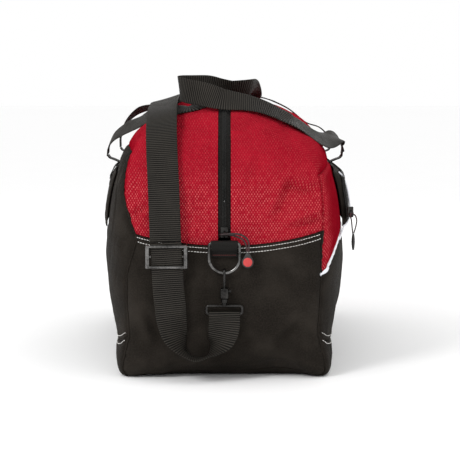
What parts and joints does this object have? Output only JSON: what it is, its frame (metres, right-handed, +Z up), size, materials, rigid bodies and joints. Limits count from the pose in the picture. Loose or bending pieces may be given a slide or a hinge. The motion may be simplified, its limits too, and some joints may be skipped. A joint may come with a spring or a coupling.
{
  "type": "hockey equipment bag",
  "caption": "Soft duffel-style hockey equipment bag with a red domed top over a black body, a lengthwise zip, side pockets, webbing carry handles and a clip-on shoulder strap.",
  "frame": {"origin": "on the floor under the middle of the bag", "axes": "+Z up, +Y along the bag from the near end to the far end, +X across it to the right as seen from the near end"},
  "size_m": [0.4408, 0.927, 0.4922],
  "materials": {
    "red_cloth": "red dobby-weave polyester with a fine diamond texture, slight sheen",
    "black_cloth": "black coated plain-weave polyester, matte",
    "webbing": "black ribbed polypropylene webbing",
    "zip_black": "black zip tape with a glossy nylon coil",
    "white_piping": "white piping, satin",
    "dark_metal": "black nickel plate, polished",
    "pull_rubber": "dark moulded rubber and cord",
    "board": "black plastic board"
  },
  "bodies": {
    "bag": {"base_panel": "black_cloth", "end_panel_near": "black_cloth", "end_panel_far": "black_cloth", "side_panel_left": "black_cloth", "side_panel_right": "black_cloth", "pocket_left": "black_cloth", "pocket_right": "black_cloth", "end_piping_near_left": "black_cloth", "end_piping_near_right": "black_cloth", "end_piping_far_left": "black_cloth", "end_piping_far_right": "black_cloth", "side_upper_right": "red_cloth", "upper_end_near_left": "red_cloth", "upper_end_near_right": "red_cloth", "upper_end_far_left": "red_cloth", "upper_end_far_right": "red_cloth", "ring_tab_near": "webbing", "ring_tab_far": "webbing", "strap_riser_near": "webbing", "strap_riser_far": "webbing", "handle_anchor_near_left": "webbing", "handle_anchor_near_right": "webbing", "handle_anchor_far_left": "webbing", "handle_anchor_far_right": "webbing", "zip_tape_near": "zip_black", "zip_tape_far": "zip_black", "pocket_zip_left": "zip_black", "pocket_zip_right": "zip_black", "reflective_piping": "white_piping", "base_board": "board"},
    "top_right": {"top_flap_right": "red_cloth", "zip_tape_top_right": "zip_black"},
    "top_left": {"top_flap_left": "red_cloth", "zip_tape_top_left": "zip_black", "handle_left": "webbing", "shoulder_strap": "webbing"},
    "right_handle": {"handle_right": "webbing"},
    "near_slider": {"main_slider_near": "dark_metal"},
    "near_pull": {"main_pull_cord_near": "pull_rubber", "main_pull_tab_near": "pull_rubber"},
    "near_strap_end": {"d_ring_near": "dark_metal", "snap_hook_near": "dark_metal", "hook_base_near": "dark_metal", "strap_loop_near": "webbing"},
    "near_gate": {"hook_gate_near": "dark_metal"},
    "far_slider": {"main_slider_far": "dark_metal"},
    "far_pull": {"main_pull_cord_far": "pull_rubber", "main_pull_tab_far": "pull_rubber"},
    "far_strap_end": {"d_ring_far": "dark_metal", "snap_hook_far": "dark_metal", "hook_base_far": "dark_metal", "strap_loop_far": "webbing"},
    "far_gate": {"hook_gate_far": "dark_metal"},
    "strap_buckle": {"slide_buckle": "dark_metal"},
    "left_pocket_slider": {"pocket_slider_left": "dark_metal"},
    "left_pocket_pull": {"pocket_pull_cord_left": "pull_rubber", "pocket_pull_grip_left": "pull_rubber"},
    "right_pocket_slider": {"pocket_slider_right": "dark_metal"},
    "right_pocket_pull": {"pocket_pull_cord_right": "pull_rubber", "pocket_pull_grip_right": "pull_rubber"}
  },
  "joints": [
    {"name": "top_right_open", "type": "hinge", "parent": "bag", "child": "top_right", "pos_m": [0.2035, 0, 0.349], "axis": [0, 1, 0], "range_deg": [0, 50]},
    {"name": "top_left_open", "type": "hinge", "parent": "bag", "child": "top_left", "pos_m": [-0.2035, 0, 0.349], "axis": [0, 1, 0], "range_deg": [-50, 0]},
    {"name": "right_handle_lift", "type": "hinge", "parent": "top_right", "child": "right_handle", "pos_m": [0.2035, 0, 0.349], "axis": [0, 1, 0], "range_deg": [0, 110]},
    {"name": "near_zip_run", "type": "slide", "parent": "bag", "child": "near_slider", "axis": [0, 0.02, 0.9998], "range_m": [0, 0.1]},
    {"name": "near_pull_lift", "type": "hinge", "parent": "near_slider", "child": "near_pull", "pos_m": [0, -0.4157, 0.2345], "axis": [-1, 0, 0], "range_deg": [0, 75]},
    {"name": "near_strap_swing", "type": "hinge", "parent": "bag", "child": "near_strap_end", "pos_m": [0, -0.4215, 0.2215], "axis": [-1, 0, 0], "range_deg": [0, 40]},
    {"name": "near_gate_press", "type": "slide", "parent": "near_strap_end", "child": "near_gate", "axis": [0, 0, -1], "range_m": [0, 0.007], "stiffness_N_per_m": 200, "springref_m": -0.003},
    {"name": "far_zip_run", "type": "slide", "parent": "bag", "child": "far_slider", "axis": [0, -0.02, 0.9998], "range_m": [0, 0.1]},
    {"name": "far_pull_lift", "type": "hinge", "parent": "far_slider", "child": "far_pull", "pos_m": [0, 0.4157, 0.2345], "axis": [1, 0, 0], "range_deg": [0, 75]},
    {"name": "far_strap_swing", "type": "hinge", "parent": "bag", "child": "far_strap_end", "pos_m": [0, 0.4215, 0.2215], "axis": [1, 0, 0], "range_deg": [0, 40]},
    {"name": "far_gate_press", "type": "slide", "parent": "far_strap_end", "child": "far_gate", "axis": [0, 0, -1], "range_m": [0, 0.007], "stiffness_N_per_m": 200, "springref_m": -0.003},
    {"name": "buckle_slide", "type": "slide", "parent": "near_strap_end", "child": "strap_buckle", "axis": [0.0584, 0, -0.9983], "range_m": [0, 0.03]},
    {"name": "left_pocket_zip_run", "type": "slide", "parent": "bag", "child": "left_pocket_slider", "axis": [0, 0, 1], "range_m": [0, 0.03]},
    {"name": "left_pocket_pull_lift", "type": "hinge", "parent": "left_pocket_slider", "child": "left_pocket_pull", "pos_m": [-0.21094, 0.30507, 0.259], "axis": [0.8336, 0.5524, 0], "range_deg": [0, 120]},
    {"name": "right_pocket_zip_run", "type": "slide", "parent": "bag", "child": "right_pocket_slider", "axis": [0, 0, 1], "range_m": [0, 0.03]},
    {"name": "right_pocket_pull_lift", "type": "hinge", "parent": "right_pocket_slider", "child": "right_pocket_pull", "pos_m": [0.21094, -0.30507, 0.259], "axis": [-0.8336, -0.5524, 0], "range_deg": [0, 120]}
  ],
  "couplings": [
    {"joint": "top_left_open", "follows": "top_right_open", "ratio": -1}
  ]
}
